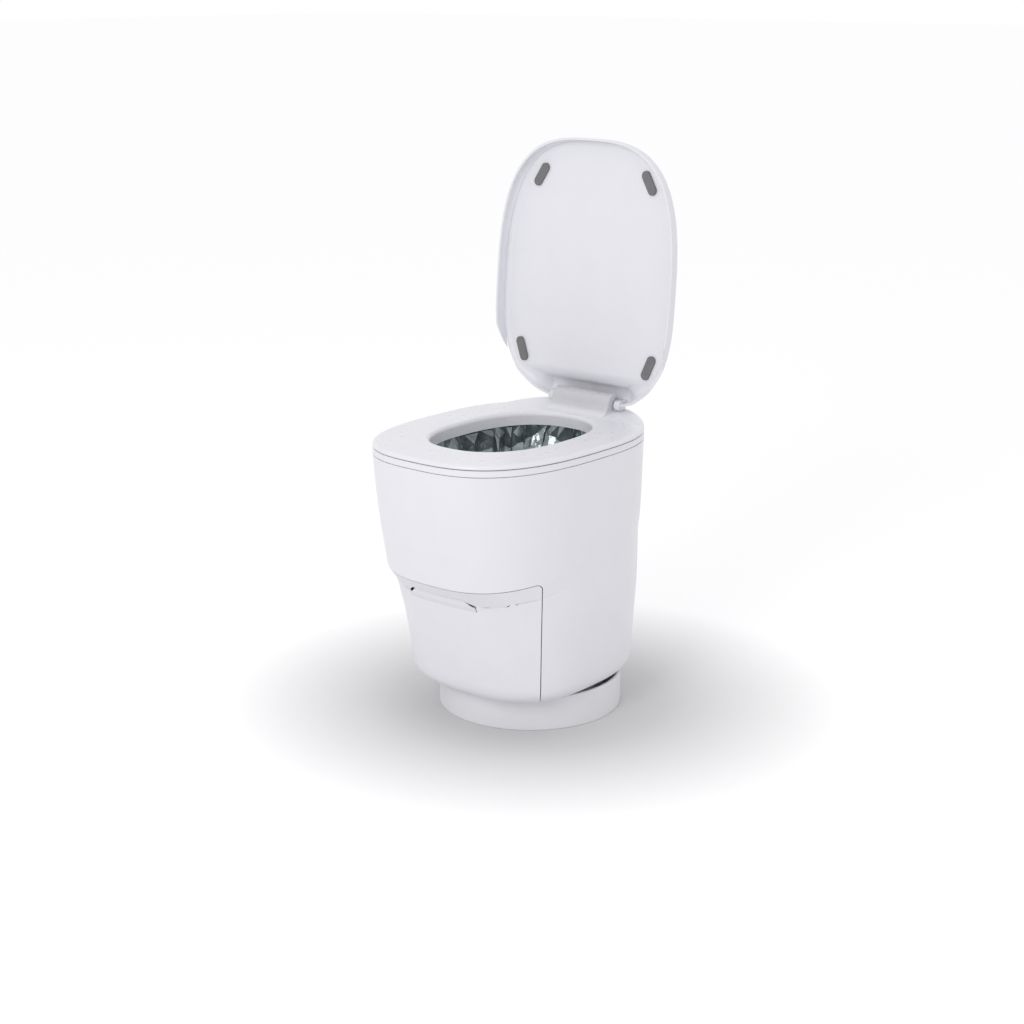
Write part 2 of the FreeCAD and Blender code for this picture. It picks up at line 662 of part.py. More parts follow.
def ramp_profile(wall):
    """Side outline of the hinge ramp: up from the seat in a hollow curve and over the pin."""
    knuckle = KNUCKLE_RADIUS - wall
    hollow = RAMP_RADIUS + wall
    centre_z = SEAT_TOP_Z + RAMP_RADIUS
    run = math.sqrt((RAMP_RADIUS + KNUCKLE_RADIUS) ** 2 - (centre_z - HINGE_Z) ** 2)
    centre_y = HINGE_Y - run
    toward = math.atan2(centre_z - HINGE_Z, centre_y - HINGE_Y)
    def on_knuckle(turn):
        return V(0, HINGE_Y + knuckle * math.cos(turn), HINGE_Z + knuckle * math.sin(turn))
    def on_hollow(turn):
        return V(0, centre_y + hollow * math.cos(turn), centre_z + hollow * math.sin(turn))
    meet = toward - math.pi
    foot = on_hollow(-math.pi / 2)
    arcs = [Part.Arc(foot, on_hollow((meet - math.pi / 2) / 2), on_hollow(meet)).toShape(),
            Part.Arc(on_knuckle(toward), on_knuckle((toward + math.pi / 2) / 2),
                     on_knuckle(math.pi / 2)).toShape()]
    top = on_knuckle(math.pi / 2)
    base_z = SEAT_TOP_Z - SEAT_THICKNESS / 2
    corners = [top, V(0, HINGE_Y, base_z), V(0, foot.y, base_z), foot]
    for start, end in zip(corners[:-1], corners[1:]):
        arcs.append(Part.LineSegment(start, end).toShape())
    return Part.Face(Part.Wire(Part.__sortEdges__(arcs)))


def make_seat():
    """Seat ring with its inner skirt and the hinge ramp, cut off ahead of the hinge deck."""
    edge_z = SEAT_TOP_Z - HOLE_EDGE_RADIUS
    skirt_low = SEAT_TOP_Z - SKIRT_DEPTH
    skirt = loft([hole_plan(SKIRT_WALL, skirt_low), hole_plan(SKIRT_WALL, SEAT_BOTTOM_Z + 1)], True)
    seat = seat_blank().fuse(skirt)
    flare = []
    for angle in EDGE_TURNS:
        turn = math.radians(angle)
        grow = HOLE_EDGE_RADIUS * (1 - math.cos(turn))
        flare.append(hole_plan(grow, edge_z + HOLE_EDGE_RADIUS * math.sin(turn)))
    seat = seat.cut(loft([hole_plan(0, skirt_low - 1), hole_plan(0, edge_z)], True)).cut(loft(flare))
    seat = seat.cut(box(-FAR, FAR, DECK_SPLIT_Y, FAR, 0, FAR))
    outside = ramp_profile(0.0).extrude(V(2 * RAMP_HALF_WIDTH, 0, 0))
    inside = ramp_profile(RAMP_WALL).extrude(V(2 * (RAMP_HALF_WIDTH - RAMP_WALL), 0, 0))
    outside.translate(V(-RAMP_HALF_WIDTH, 0, 0))
    inside.translate(V(-RAMP_HALF_WIDTH + RAMP_WALL, 0, 0))
    inside = inside.cut(box(-FAR, FAR, 0, FAR, 0, SEAT_TOP_Z))
    seat = seat.fuse(outside).cut(inside)
    for x in (-RAMP_HALF_WIDTH, RAMP_HALF_WIDTH - RAMP_WALL):
        seat = seat.fuse(rod_x(EYE_RADIUS, x, x + RAMP_WALL, HINGE_Y, HINGE_Z))
    seat = seat.cut(rod_x(PIN_RADIUS + RUN_CLEARANCE, -FAR, FAR, HINGE_Y, HINGE_Z))
    for x, y in buffer_places():
        pocket = rod_z(BUFFER_RADIUS + FLAT_FIT, SEAT_BOTTOM_Z - 1, SEAT_BOTTOM_Z + BUFFER_POCKET, x, y)
        seat = seat.cut(pocket)
    return seat


def buffer_places():
    """Middle of the seat ring at four places."""
    reach_x = (HALF_WIDTH + HOLE_HALF_WIDTH) / 2
    side_y = HOLE_Y + HOLE_REACH / 2
    front_y = (FRONT_Y + HOLE_Y - HOLE_REACH) / 2
    front_x = HOLE_HALF_WIDTH / 2
    return [(-reach_x, side_y), (reach_x, side_y), (-front_x, front_y), (front_x, front_y)]


def make_seat_buffers():
    """Rubber buffers under the seat."""
    return Part.Compound([rod_z(BUFFER_RADIUS, BAND_TOP_Z, SEAT_BOTTOM_Z + BUFFER_POCKET, x, y)
                          for x, y in buffer_places()])


def make_hinge_deck():
    """Fixed deck behind the seat, with the two posts that hold the hinge pin."""
    foot = loft([plan(SEAT_EDGE_RADIUS, BAND_TOP_Z), plan(SEAT_EDGE_RADIUS, SEAT_BOTTOM_Z + 1)], True)
    deck = seat_blank().fuse(foot)
    deck = deck.common(box(-FAR, FAR, DECK_SPLIT_Y + DECK_GAP, FAR, 0, FAR))
    leg_front = DECK_SPLIT_Y + DECK_GAP
    leg_rear = HINGE_Y + KNUCKLE_RADIUS + RAMP_WALL
    low = SEAT_TOP_Z - SEAT_THICKNESS / 2
    for x in (-POST_X, POST_X):
        x0 = x - POST_THICKNESS / 2
        x1 = x + POST_THICKNESS / 2
        leg = side_profile([(leg_front, low), (leg_rear, low), (HINGE_Y + EYE_RADIUS, HINGE_Z),
                            (HINGE_Y, HINGE_Z), (leg_front, SEAT_TOP_Z + LIFT_GAP)], x0, x1)
        head = rod_x(EYE_RADIUS, x0, x1, HINGE_Y, HINGE_Z)
        deck = deck.fuse(leg).fuse(head)
    return deck.cut(rod_x(PIN_RADIUS, -FAR, FAR, HINGE_Y, HINGE_Z))


def make_pin():
    """Hinge pin with its end caps, and the two soft-close dampers between the posts."""
    reach = ARM_INNER_X + ARM_THICKNESS + FLAT_FIT
    pin = rod_x(PIN_RADIUS, -reach - PIN_CAP_THICKNESS, reach + PIN_CAP_THICKNESS, HINGE_Y, HINGE_Z)
    caps = [rod_x(PIN_CAP_RADIUS, x, x + PIN_CAP_THICKNESS, HINGE_Y, HINGE_Z)
            for x in (-reach - PIN_CAP_THICKNESS, reach)]
    bare = rod_x(PIN_RADIUS + RUN_CLEARANCE, -FAR, FAR, HINGE_Y, HINGE_Z)
    caps = Part.Compound([cap.cut(pin) for cap in caps])
    span = POST_X - POST_THICKNESS / 2
    dampers = [rod_x(DAMPER_RADIUS, x0, x1, HINGE_Y, HINGE_Z).cut(bare)
               for x0, x1 in ((-span, -DAMPER_GAP), (DAMPER_GAP, span))]
    return pin, caps, dampers


def lid_plan(inset, z):
    """Plan oval of the lid, drawn in by an inset."""
    grow = LID_GROWTH - inset
    return oval(HALF_WIDTH + grow, FRONT_REACH + grow, LID_REAR_REACH - inset, z,
                front_power=LID_FRONT_POWER, rear_power=LID_REAR_POWER)


def lid_body(inset, panel_z, edge_radius, slack):
    """Lid block under a top that climbs over the hinge in two tangent arcs."""
    half_run = (LID_HUMP_END_Y - LID_HUMP_START_Y) / 2
    half_rise = LID_HUMP_RISE / 2
    radius = (half_run ** 2 + half_rise ** 2) / (2 * half_rise)
    swing = math.asin(half_run / radius)
    start = V(-FAR, LID_HUMP_START_Y - slack, panel_z)
    end = start + V(0, 2 * half_run, 2 * half_rise)
    def below(turn):
        return start + V(0, radius * math.sin(turn), radius * (1 - math.cos(turn)))
    def above(turn):
        return end - V(0, radius * math.sin(turn), radius * (1 - math.cos(turn)))
    front_top = V(-FAR, -FAR, panel_z)
    front_low = V(-FAR, -FAR, LID_RIM_Z)
    rear_low = V(-FAR, FAR, LID_RIM_Z)
    rear_top = V(-FAR, FAR, end.z)
    edges = [Part.Arc(start, below(swing / 2), below(swing)).toShape(),
             Part.Arc(above(swing), above(swing / 2), end).toShape()]
    for first, second in ((end, rear_top), (rear_top, rear_low), (rear_low, front_low),
                          (front_low, front_top), (front_top, start)):
        edges.append(Part.LineSegment(first, second).toShape())
    profile = Part.Face(Part.Wire(Part.__sortEdges__(edges))).extrude(V(2 * FAR, 0, 0))
    prism = loft([lid_plan(inset, LID_RIM_Z), lid_plan(inset, panel_z + 2 * LID_HUMP_RISE)], True)
    block = prism.common(profile)
    top_edges = []
    for edge in block.Edges:
        low = min(edge.valueAt(edge.FirstParameter).z, edge.valueAt(edge.LastParameter).z)
        middle = edge.valueAt((edge.FirstParameter + edge.LastParameter) / 2)
        across = abs(edge.tangentAt(edge.FirstParameter).x) > 0.999
        ends_x = edge.valueAt(edge.FirstParameter).x + edge.valueAt(edge.LastParameter).x
        straight = across and abs(ends_x) < 1
        if low > panel_z - 1 and middle.z > panel_z - 1 and not straight:
            top_edges.append(edge)
    return block.makeFillet(edge_radius, top_edges)


def swing_lid(shape):
    """Swing a piece of the lid from closed to open."""
    shape.rotate(V(0, HINGE_Y, HINGE_Z), V(-1, 0, 0), LID_OPEN_ANGLE)
    return shape


def make_lid():
    """Dished lid with hinge arms, its rim trimmed and notched at the hinge."""
    top_z = LID_PANEL_Z + LID_PANEL_THICKNESS
    lid = lid_body(0.0, top_z, LID_OUTER_RADIUS, LID_PANEL_THICKNESS)
    inside = lid_body(LID_WALL, LID_PANEL_Z, LID_OUTER_RADIUS - LID_WALL, 0.0)
    lid = lid.cut(inside)
    room = LID_CLEARANCE / 2
    relief_z = SEAT_TOP_Z + LID_CLEARANCE
    lid = lid.cut(loft([plan(-room, LID_RIM_Z - room), plan(-room, relief_z)], True))
    climb = loft([plan(-room, 0.0), sloped_plan(-room, relief_z)], True)
    lid = lid.cut(behind_rise(climb, LID_RIM_Z - room))
    trim_z = LID_RIM_Z + LID_TRIM_RISE
    trim = side_profile([(LID_TRIM_START_Y, LID_RIM_Z), (LID_TRIM_END_Y, trim_z), (REAR_RISE_Y, trim_z),
                         (FAR, trim_z + REAR_SLOPE * (FAR - REAR_RISE_Y)), (FAR, LID_RIM_Z - room),
                         (LID_TRIM_START_Y, LID_RIM_Z - room)], -FAR, FAR)
    lid = lid.cut(trim)
    ceiling = LID_PANEL_Z + LID_HUMP_RISE
    notch = box(-ARM_INNER_X, ARM_INNER_X, HINGE_Y - EYE_RADIUS, FAR, LID_RIM_Z, ceiling)
    lid = lid.cut(notch)
    for x in (-ARM_INNER_X - ARM_THICKNESS, ARM_INNER_X):
        arm = box(x, x + ARM_THICKNESS, HINGE_Y - EYE_RADIUS, HINGE_Y + EYE_RADIUS, HINGE_Z,
                  ceiling + LID_PANEL_THICKNESS / 2)
        eye = rod_x(EYE_RADIUS, x, x + ARM_THICKNESS, HINGE_Y, HINGE_Z)
        lid = lid.fuse(arm.common(lid_body(LID_WALL / 2, top_z - 1, LID_OUTER_RADIUS, LID_PANEL_THICKNESS)))
        lid = lid.fuse(eye)
    lid = lid.cut(rod_x(PIN_RADIUS + RUN_CLEARANCE, -FAR, FAR, HINGE_Y, HINGE_Z))
    cap_x = ARM_INNER_X + ARM_THICKNESS
    for x0, x1 in ((-cap_x - 2 * PIN_CAP_THICKNESS, -cap_x), (cap_x, cap_x + 2 * PIN_CAP_THICKNESS)):
        lid = lid.cut(rod_x(PIN_CAP_RADIUS + FLAT_FIT, x0, x1, HINGE_Y, HINGE_Z))
    return swing_lid(lid)


def make_lid_bumpers():
    """Four rubber bumpers on the lid's panel."""
    bumpers = []
    half = (BUMPER_LENGTH - BUMPER_WIDTH) / 2
    low = LID_PANEL_Z - BUMPER_HEIGHT
    for side in (-1, 1):
        for x, y, angle in ((FRONT_BUMPER_X, FRONT_BUMPER_Y, FRONT_BUMPER_ANGLE),
                            (REAR_BUMPER_X, REAR_BUMPER_Y, REAR_BUMPER_ANGLE)):
            bar = box(-BUMPER_WIDTH / 2, BUMPER_WIDTH / 2, -half, half, low, LID_PANEL_Z)
            for end in (-half, half):
                bar = bar.fuse(rod_z(BUMPER_WIDTH / 2, low, LID_PANEL_Z, 0, end))
            bar = bar.removeSplitter()
            bar.rotate(V(0, 0, 0), V(0, 0, 1), -side * angle)
            bar.translate(V(side * x, y, 0))
            bumpers.append(swing_lid(bar))
    return Part.Compound(bumpers)


def make_cassette():
    """Ring trough that holds the folded film, and the folded film itself."""
    top = CASSETTE_FLOOR_Z + CASSETTE_HEIGHT
    inner = CASSETTE_INNER_OFFSET
    outer = CASSETTE_OUTER_OFFSET
    def ring(low, high, inside, outside):
        body = loft([hole_plan(outside, low), hole_plan(outside, high)], True)
        return body.cut(loft([hole_plan(inside, low), hole_plan(inside, high)], True))
    low = CASSETTE_FLOOR_Z + FLAT_FIT
    trough = ring(low, top, inner, outer)
    trough = trough.cut(ring(low + CASSETTE_WALL, top, inner + CASSETTE_WALL, outer - CASSETTE_WALL))
    room = CASSETTE_WALL + FLAT_FIT
    stack = ring(low + room, low + room + STACK_HEIGHT, inner + room, outer - room)
    return trough, stack


def throat_plan(half_width, reach, z):
    """Oval slot around the film path."""
    return oval(half_width, reach, reach, z, centre_y=FILM_Y, front_power=HOLE_POWER, rear_power=HOLE_POWER)


def make_funnel():
    """Bowl that narrows from the seat opening to the film slot, with a flange in the shell."""
    top = CASSETTE_FLOOR_Z
    low = top - FUNNEL_FLANGE
    cone = loft([throat_plan(FUNNEL_THROAT_HALF_WIDTH, FUNNEL_THROAT_REACH, FUNNEL_BOTTOM_Z),
                 hole_plan(CASSETTE_INNER_OFFSET, top)], True)
    grow = FUNNEL_WALL
    outside = loft([throat_plan(FUNNEL_THROAT_HALF_WIDTH + grow, FUNNEL_THROAT_REACH + grow, FUNNEL_BOTTOM_Z),
                    hole_plan(CASSETTE_INNER_OFFSET + grow, top)], True)
    share = (SHELL_TOP_Z - low) / (SHELL_TOP_Z - SEAM_Z)
    fit = SHELL_WALL + FLANGE_GAP
    side = SEAM_SIDE_INSET * share + fit
    front = SEAM_FRONT_INSET * share ** UPPER_CURVE + fit
    flange = loft([shell_level(low, side, front), shell_level(top, side, front)], True)
    return outside.fuse(flange).cut(cone)


def make_liner():
    """Film liner hanging in the bowl, closed at its lower end."""
    top = SEAT_TOP_Z - SKIRT_DEPTH - FLAT_FIT
    def bag(wall, low):
        gap = LINER_GAP + wall
        return loft([throat_plan(LINER_END_HALF_WIDTH - wall, LINER_END_REACH - wall, low),
                     throat_plan(FUNNEL_THROAT_HALF_WIDTH - gap, FUNNEL_THROAT_REACH - gap, FUNNEL_BOTTOM_Z),
                     hole_plan(CASSETTE_INNER_OFFSET - gap, CASSETTE_FLOOR_Z),
                     hole_plan(CASSETTE_INNER_OFFSET - gap, top)], True)
    return bag(0.0, LINER_END_Z).cut(bag(LINER_WALL, LINER_END_Z + LINER_WALL))


def make_chassis():
    """Deck plate on four columns that carries the sealing unit."""
    low = DECK_PLATE_TOP_Z - DECK_PLATE_THICKNESS
    deck = box(-DECK_PLATE_HALF_WIDTH, DECK_PLATE_HALF_WIDTH, DECK_PLATE_FRONT_Y, DECK_PLATE_REAR_Y,
               low, DECK_PLATE_TOP_Z)
    drop = box(-DROP_HALF_WIDTH, DROP_HALF_WIDTH, FILM_Y - DROP_REACH, FILM_Y + DROP_REACH,
               low - 1, DECK_PLATE_TOP_Z + 1)
    pieces = [deck.cut(drop)]
    half = COLUMN_SIZE / 2
    base = SHELL_BOTTOM_Z + BOTTOM_PLATE_THICKNESS
    for x in (-COLUMN_X, COLUMN_X):
        for y in (COLUMN_FRONT_Y, COLUMN_REAR_Y):
            pieces.append(box(x - half, x + half, y - half, y + half, base, low))
    return fuse_all(pieces)


def make_sealer_frame():
    """Open box around the film path, bored for rods, shafts and the screw's nut."""
    low = DECK_PLATE_TOP_Z
    high = low + SEALER_HEIGHT
    frame = box(-SEALER_HALF_WIDTH, SEALER_HALF_WIDTH, SEALER_FRONT_Y, SEALER_REAR_Y, low, high)
    frame = frame.cut(box(-SEALER_HALF_WIDTH + SEALER_WALL, SEALER_HALF_WIDTH - SEALER_WALL,
                          SEALER_FRONT_Y + SEALER_WALL, SEALER_REAR_Y - SEALER_WALL, low - 1, high + 1))
    frame = frame.cut(rod_y(NUT_HUB_RADIUS + RUN_CLEARANCE, SEALER_REAR_Y - 2 * SEALER_WALL,
                            SEALER_REAR_Y + 1, 0, JAW_Z))
    for x in (-ROD_X, ROD_X):
        frame = frame.cut(rod_y(ROD_RADIUS, SEALER_REAR_Y - 2 * SEALER_WALL, SEALER_REAR_Y + 1, x, JAW_Z))
    for y in (FILM_Y - FEED_PITCH / 2, FILM_Y + FEED_PITCH / 2):
        frame = frame.cut(rod_x(BUSH_RADIUS, -FAR, FAR, y, FEED_Z))
    return frame


def make_jaws():
    """Fixed jaw, its heating strip, the moving jaw, its pad and its screw."""
    low = JAW_Z - JAW_HEIGHT / 2
    high = JAW_Z + JAW_HEIGHT / 2
    face_y = FILM_Y - HEATER_THICKNESS
    fixed = box(-JAW_HALF_WIDTH, JAW_HALF_WIDTH, face_y - JAW_DEPTH, face_y, low, high)
    for x in (-JAW_STEM_X, JAW_STEM_X):
        half = JAW_STEM_WIDTH / 2
        stem_y = SEALER_FRONT_Y + SEALER_WALL
        fixed = fixed.fuse(box(x - half, x + half, stem_y, face_y - JAW_DEPTH, low, high))
    heater = box(-HEATER_HALF_WIDTH, HEATER_HALF_WIDTH, face_y, FILM_Y,
                 JAW_Z - HEATER_HEIGHT / 2, JAW_Z + HEATER_HEIGHT / 2)
    pad_y = FILM_Y + CLOSED_GAP + SCREW_TRAVEL
    jaw_y = pad_y + PAD_THICKNESS
    pad = box(-HEATER_HALF_WIDTH, HEATER_HALF_WIDTH, pad_y, jaw_y,
              JAW_Z - PAD_HEIGHT / 2, JAW_Z + PAD_HEIGHT / 2)
    moving = box(-JAW_HALF_WIDTH, JAW_HALF_WIDTH, jaw_y, jaw_y + JAW_DEPTH, low, high)
    rods = []
    for x in (-ROD_X, ROD_X):
        fixed = fixed.cut(rod_y(ROD_RADIUS, face_y - JAW_DEPTH / 2, FAR, x, JAW_Z))
        moving = moving.cut(rod_y(ROD_RADIUS + RUN_CLEARANCE, -FAR, FAR, x, JAW_Z))
        rods.append(rod_y(ROD_RADIUS, face_y - JAW_DEPTH / 2, SEALER_REAR_Y, x, JAW_Z))
    screw_end = SEALER_REAR_Y + GEAR_WIDTH + 2 * GEAR_COVER_WALL + SCREW_TRAVEL
    screw = rod_y(SCREW_RADIUS, jaw_y + JAW_DEPTH, screw_end, 0, JAW_Z)
    return fixed, heater, moving, pad, Part.Compound(rods), screw


def make_jaw_drive():
    """Geared nut on the screw, the motor's pinion, the gear cover and the jaw motor."""
    wall_y = SEALER_REAR_Y
    wheel = gear(NUT_TEETH, GEAR_MODULE, GEAR_WIDTH, SCREW_RADIUS + RUN_CLEARANCE, False)
    nut = along_y(wheel, 0, wall_y + FLAT_FIT, JAW_Z)
    hub = rod_y(NUT_HUB_RADIUS, wall_y - SEALER_WALL, wall_y + FLAT_FIT + 1, 0, JAW_Z)
    nut = nut.fuse(hub.cut(rod_y(SCREW_RADIUS + RUN_CLEARANCE, -FAR, FAR, 0, JAW_Z)))
    gap = GEAR_MODULE * (NUT_TEETH + PINION_TEETH) / 2
    pinion = gear(PINION_TEETH, GEAR_MODULE, GEAR_WIDTH, MOTOR_SHAFT_RADIUS, True)
    pinion = along_y(pinion, gap, wall_y + FLAT_FIT, JAW_Z)
    nut_room = GEAR_MODULE * (NUT_TEETH / 2 + 1) + GEAR_COVER_GAP
    pinion_room = GEAR_MODULE * (PINION_TEETH / 2 + 1) + GEAR_COVER_GAP
    inner_y = wall_y + 2 * FLAT_FIT + GEAR_WIDTH
    outer_y = inner_y + GEAR_COVER_WALL
    cover = box(-nut_room - GEAR_COVER_WALL, gap + pinion_room + GEAR_COVER_WALL, wall_y, outer_y,
                DECK_PLATE_TOP_Z, JAW_Z + nut_room + GEAR_COVER_WALL)
    room = box(-nut_room, gap + pinion_room, wall_y - 1, inner_y, DECK_PLATE_TOP_Z - 1, JAW_Z + nut_room)
    cover = cover.cut(room)
    cover = cover.cut(rod_y(SCREW_RADIUS + CATCH_GAP, -FAR, FAR, 0, JAW_Z))
    cover = cover.cut(rod_y(MOTOR_SHAFT_RADIUS + CATCH_GAP, -FAR, FAR, gap, JAW_Z))
    motor = rod_y(MOTOR_RADIUS, outer_y, outer_y + MOTOR_LENGTH, gap, JAW_Z)
    shaft = rod_y(MOTOR_SHAFT_RADIUS - RUN_CLEARANCE, wall_y + 2 * FLAT_FIT, outer_y, gap, JAW_Z)
    return nut, pinion, cover, motor.fuse(shaft)


def make_feed():
    """Two film feed shafts with edge wheels and gears, their bushes and the feed motor."""
    sets = []
    bushes = []
    gear_x = -SEALER_HALF_WIDTH - FLAT_FIT - FEED_GEAR_WIDTH
    drive_y = FILM_Y + FEED_PITCH / 2
    for name, y, half_turn in (("drive", drive_y, False), ("idler", drive_y - FEED_PITCH, True)):
        end = SEALER_HALF_WIDTH - FLAT_FIT
        shaft = rod_x(SHAFT_RADIUS, gear_x, end, y, FEED_Z)
        wheels = [rod_x(WHEEL_RADIUS, x - WHEEL_WIDTH / 2, x + WHEEL_WIDTH / 2, y, FEED_Z).cut(shaft)
                  for x in (-WHEEL_X, WHEEL_X)]
        wheel = gear(FEED_TEETH, FEED_PITCH / FEED_TEETH, FEED_GEAR_WIDTH, SHAFT_RADIUS, half_turn)
        wheel.rotate(V(0, 0, 0), V(0, 0, 1), 90)
        wheel = along_x(wheel, gear_x, y, FEED_Z)
        for x in (-SEALER_HALF_WIDTH, SEALER_HALF_WIDTH - SEALER_WALL):
            bush = rod_x(BUSH_RADIUS, x, x + SEALER_WALL, y, FEED_Z)
            bushes.append(bush.cut(rod_x(SHAFT_RADIUS + RUN_CLEARANCE, -FAR, FAR, y, FEED_Z)))
        sets.append((name, shaft, Part.Compound(wheels), wheel))
    motor = rod_x(MOTOR_RADIUS, SEALER_HALF_WIDTH, SEALER_HALF_WIDTH + MOTOR_LENGTH, drive_y, FEED_Z)
    return sets, Part.Compound(bushes), motor


def make_catch():
    """Magnet on the tub's rear wall and the steel plate that it meets."""
    magnet = rod_y(MAGNET_RADIUS, TUB_REAR_Y, TUB_REAR_Y + MAGNET_THICKNESS, 0, RAIL_Z)
    face_y = TUB_REAR_Y + MAGNET_THICKNESS + CATCH_GAP
    half = 2 * MAGNET_RADIUS
    plate = box(-half, half, face_y, face_y + BOX_WALL, RAIL_Z - half, RAIL_Z + half)
    return magnet, plate, face_y + BOX_WALL


def make_electrics(front_y):
    """Control box behind the drawer, its board, and the power inlet in the rear wall."""
    rear_y = front_y + BOX_DEPTH
    case = box(-BOX_HALF_WIDTH, BOX_HALF_WIDTH, front_y, rear_y, BOX_BOTTOM_Z, BOX_TOP_Z)
    case = case.cut(box(-BOX_HALF_WIDTH + BOX_WALL, BOX_HALF_WIDTH - BOX_WALL, front_y + BOX_WALL, rear_y + 1,
                        BOX_BOTTOM_Z + BOX_WALL, BOX_TOP_Z - BOX_WALL))
    foot = box(-BOX_HALF_WIDTH, BOX_HALF_WIDTH, front_y, front_y + BOX_WALL,
               SHELL_BOTTOM_Z + BOTTOM_PLATE_THICKNESS, BOX_BOTTOM_Z)
    case = case.fuse(foot)
    margin = 2 * BOX_WALL
    board_y = front_y + BOX_WALL + BOARD_STANDOFF
    board = box(-BOX_HALF_WIDTH + margin, BOX_HALF_WIDTH - margin, board_y, board_y + BOARD_THICKNESS,
                BOX_BOTTOM_Z + margin, BOX_TOP_Z - margin)
    for x in (-BOX_HALF_WIDTH / 2, BOX_HALF_WIDTH / 2):
        case = case.fuse(rod_y(BOX_WALL, front_y + BOX_WALL / 2, board_y, x, (BOX_BOTTOM_Z + BOX_TOP_Z) / 2))
    return case, board


def make_inlet(body):
    """Round power socket through the rear wall, its flange drawn up to the wall."""
    barrel = rod_y(INLET_RADIUS, 0, FAR, INLET_X, INLET_Z)
    through = barrel.common(body)
    wall_y = through.BoundBox.YMax
    barrel = rod_y(INLET_RADIUS, wall_y - INLET_LENGTH, wall_y + INLET_FLANGE_THICKNESS, INLET_X, INLET_Z)
    collar = rod_y(INLET_FLANGE_RADIUS, wall_y - INLET_FLANGE_RADIUS, wall_y + INLET_FLANGE_THICKNESS,
                   INLET_X, INLET_Z)
    inlet = barrel.fuse(collar.cut(body))
    socket = rod_y(INLET_SOCKET_RADIUS, wall_y - INLET_LENGTH / 2, FAR, INLET_X, INLET_Z)
    return inlet.cut(socket)


def build():
    """Make every piece and write it."""
    os.makedirs("parts", exist_ok=True)
    body = shell_body(0.0)
    hollow = shell_body(SHELL_WALL)
    floor_top = SHELL_BOTTOM_Z + 2 * SHELL_WALL
    floor = loft([bottom_plan(0.0, SHELL_BOTTOM_Z - 1), bottom_plan(0.0, floor_top)], True)
    walls = body.cut(hollow).cut(floor)
    save("floor_adapter", make_adapter())
    slide_ring, retainer = make_swivel()
    save("slide_ring", slide_ring)
    save("swivel_retainer", retainer)
    save("main_shell", make_shell(walls))
    save("bottom_plate", make_bottom_plate())
    save("drawer_front", make_drawer_front(walls))
    save("drawer_pull", make_pull())
    save("waste_tub", make_tub())
    for side, name in ((-1, "left"), (1, "right")):
        runner, rail = make_runner(side)
        save("runner_" + name, runner)
        save("tub_rail_" + name, rail)
    save("top_band", make_band())
    save("seat_ring", make_seat())
    save("seat_buffers", make_seat_buffers())
    save("hinge_deck", make_hinge_deck())
    pin, caps, dampers = make_pin()
    save("hinge_pin", pin)
    save("pin_caps", caps)
    save("lid_damper", dampers[0])
    save("seat_damper", dampers[1])
    save("lid_shell", make_lid())
    save("lid_bumpers", make_lid_bumpers())
    trough, stack = make_cassette()
    save("film_cassette", trough)
    save("film_stack", stack)
    save("bowl_funnel", make_funnel())
    save("liner_film", make_liner())
    save("chassis", make_chassis())
    save("sealer_frame", make_sealer_frame())
    fixed, heater, moving, pad, rods, screw = make_jaws()
    save("fixed_jaw", fixed)
    save("heating_strip", heater)
    save("moving_jaw", moving)
    save("jaw_pad", pad)
    save("guide_rods", rods)
    save("jaw_screw", screw)
    nut, pinion, cover, motor = make_jaw_drive()
    save("geared_nut", nut)
    save("motor_pinion", pinion)
    save("gear_cover", cover)
    save("jaw_motor", motor)
    sets, bushes, feed_motor = make_feed()
    for name, shaft, wheels, wheel in sets:
        save(name + "_shaft", shaft)
        save(name + "_wheels", wheels)
        save(name + "_gear", wheel)
    save("shaft_bushes", bushes)
    save("feed_motor", feed_motor)
    magnet, plate, box_y = make_catch()
    save("catch_magnet", magnet)
    save("catch_plate", plate)
    case, board = make_electrics(box_y)
    save("control_box", case)
    save("control_board", board)
    save("power_inlet", make_inlet(body))


build()
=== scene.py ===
import json
import math
import bpy
import numpy as np
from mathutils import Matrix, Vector


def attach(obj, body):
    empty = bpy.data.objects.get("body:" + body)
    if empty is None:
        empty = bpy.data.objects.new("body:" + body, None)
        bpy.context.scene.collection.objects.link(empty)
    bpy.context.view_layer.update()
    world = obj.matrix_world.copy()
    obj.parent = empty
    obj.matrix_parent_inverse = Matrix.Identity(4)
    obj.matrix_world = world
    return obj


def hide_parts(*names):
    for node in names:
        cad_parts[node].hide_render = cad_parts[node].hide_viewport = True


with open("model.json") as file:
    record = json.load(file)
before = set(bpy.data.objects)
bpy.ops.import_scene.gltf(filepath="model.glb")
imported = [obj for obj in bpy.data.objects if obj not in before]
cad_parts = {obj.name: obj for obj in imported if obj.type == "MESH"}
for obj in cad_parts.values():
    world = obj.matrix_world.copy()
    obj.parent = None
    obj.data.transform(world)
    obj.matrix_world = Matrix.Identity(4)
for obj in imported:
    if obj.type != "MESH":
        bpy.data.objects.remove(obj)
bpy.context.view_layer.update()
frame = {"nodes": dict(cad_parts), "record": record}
nodes = frame["nodes"]
scene = bpy.context.scene

WHITE = (1.0, 1.0, 1.0, 1.0)
BLACK = (0.0, 0.0, 0.0, 1.0)

